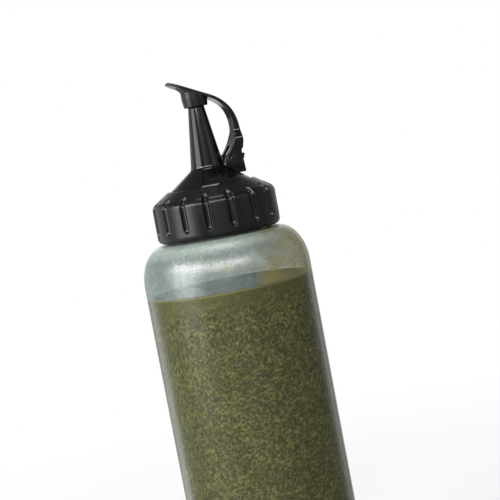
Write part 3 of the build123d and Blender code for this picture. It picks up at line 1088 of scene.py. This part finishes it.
class BOTTLE_OT_seals(bpy.types.Operator):
    """Make the ring on the neck and the plug in the cup"""
    bl_idname = "sauce_bottle.seals"
    bl_label = "Seals"

    def execute(self, context):
        seals = settings().seals
        edge, dome, half = seals.edge_rounding, seals.dome_height, seals.dome_diameter / 2
        finish = seal_finish()
        low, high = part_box("neck_seal")
        bore = heights()["plug"] + seals.ring_play
        ring = placed("neck_seal_ring", turned(rounded([
            (bore, low.z, edge), (high.x, low.z, edge),
            (high.x, high.z, edge), (bore, high.z, edge)]), steps=120))
        finish_piece(ring, "nozzle_body", "soft_seal", finish, "neck_seal")
        low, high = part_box("tip_seal")
        ball = (half ** 2 + dome ** 2) / (2 * dome)
        lowest = -pi / 2
        points = ellipse(
            (0, low.z + ball), ball, ball, lowest, lowest + asin(half / ball), parts=8)
        points += rounded([
            (half, low.z + dome, 0), (high.x, low.z + dome, edge),
            (high.x, high.z, edge), (0, high.z, 0)], closed=False)[1:]
        plug = placed("tip_plug", turned(points, steps=72, closed=False))
        finish_piece(plug, "cap_body", "soft_seal", finish, "tip_seal")
        return {"FINISHED"}


# ---- Stage ----

# Name, the setting of its power, how many share that, turn and rise in degrees, and distance,
# width and height in metres.
SOFTBOXES = (
    ("side_softbox", "side_light", 1, 61, 12, 0.75, 0.50, 0.60),
    ("front_softbox_1", "front_light", 3, 62, 29, 1.5, 1.12, 0.19),
    ("front_softbox_2", "front_light", 3, 24, 29, 1.5, 1.12, 0.19),
    ("front_softbox_3", "front_light", 3, -14, 29, 1.5, 1.12, 0.19),
    ("top_softbox", "top_light", 1, 10, 88, 0.75, 0.34, 0.18),
    ("fill_softbox", "fill_light", 1, -60, 20, 0.9, 0.4, 0.6),
)


def stood(name, data, target, turn, rise, distance, roll=0.0):
    """Lamp or camera that looks at a target from a turn, a rise and a distance."""
    back = facing(turn, rise)
    thing = bpy.data.objects.new(name, data)
    bpy.context.scene.collection.objects.link(thing)
    thing.location = target + back * distance
    thing.rotation_mode = "QUATERNION"
    thing.rotation_quaternion = (
        back.to_track_quat("Z", "Y") @ Matrix.Rotation(-roll, 3, "Z").to_quaternion())
    return thing


class BOTTLE_OT_stage(bpy.types.Operator):
    """Set the floor, the soft lights, the room and the camera"""
    bl_idname = "sauce_bottle.stage"
    bl_label = "Stage"

    def execute(self, context):
        scene = context.scene
        stage = settings().stage
        centre = Vector((0, 0, stage.aim_height))
        mesh = bmesh.new()
        bmesh.ops.create_circle(mesh, cap_ends=True, radius=stage.floor_radius, segments=96)
        floor = placed("floor", mesh)
        floor.data.materials.append(floor_finish())
        for name, light, sharing, turn, rise, distance, width, height in SOFTBOXES:
            lamp = bpy.data.lights.new(name, "AREA")
            lamp.shape = "RECTANGLE"
            lamp.size, lamp.size_y = width, height
            lamp.energy = getattr(stage, light) / sharing
            turn = radians(turn) + stage.camera_turn
            stood(name, lamp, centre, turn, radians(rise), distance)
        scene.world = room()
        view = bpy.data.cameras.new("camera")
        view.lens = view.sensor_width * stage.camera_distance / stage.frame_width
        view.clip_start, view.clip_end = 0.01, 20
        scene.camera = stood(
            "camera", view, centre + rightward() * stage.aim_side, stage.camera_turn,
            stage.camera_rise, stage.camera_distance, stage.camera_roll)
        scene.view_settings.view_transform = "Standard"
        return {"FINISHED"}


# ---- Panel and registration ----

OPERATORS = (
    BOTTLE_OT_bottle, BOTTLE_OT_sauce, BOTTLE_OT_collar, BOTTLE_OT_nozzle,
    BOTTLE_OT_flip_cap, BOTTLE_OT_pin, BOTTLE_OT_seals, BOTTLE_OT_stage,
)


class BOTTLE_PT_sidebar(bpy.types.Panel):
    """Sizes, finishes and the steps that make the bottle"""
    bl_label = "Sauce bottle"
    bl_idname = "BOTTLE_PT_sidebar"
    bl_space_type = "VIEW_3D"
    bl_region_type = "UI"
    bl_category = "Bottle"

    def draw(self, context):
        for group, kind in GROUPS.items():
            box = self.layout.box()
            box.label(text=group.capitalize())
            for name in kind.__annotations__:
                box.prop(getattr(settings(), group), name)
        for operator in OPERATORS:
            self.layout.operator(operator.bl_idname)


CLASSES = (*GROUPS.values(), BottleSettings, *OPERATORS, BOTTLE_PT_sidebar)


def register():
    for item in CLASSES:
        bpy.utils.register_class(item)
    bpy.types.Scene.sauce_bottle = bpy.props.PointerProperty(type=BottleSettings)


def unregister():
    del bpy.types.Scene.sauce_bottle
    for item in reversed(CLASSES):
        bpy.utils.unregister_class(item)


def main():
    register()
    for operator in OPERATORS:
        group, name = operator.bl_idname.split(".")
        getattr(getattr(bpy.ops, group), name)()


if __name__ == "__main__":
    main()
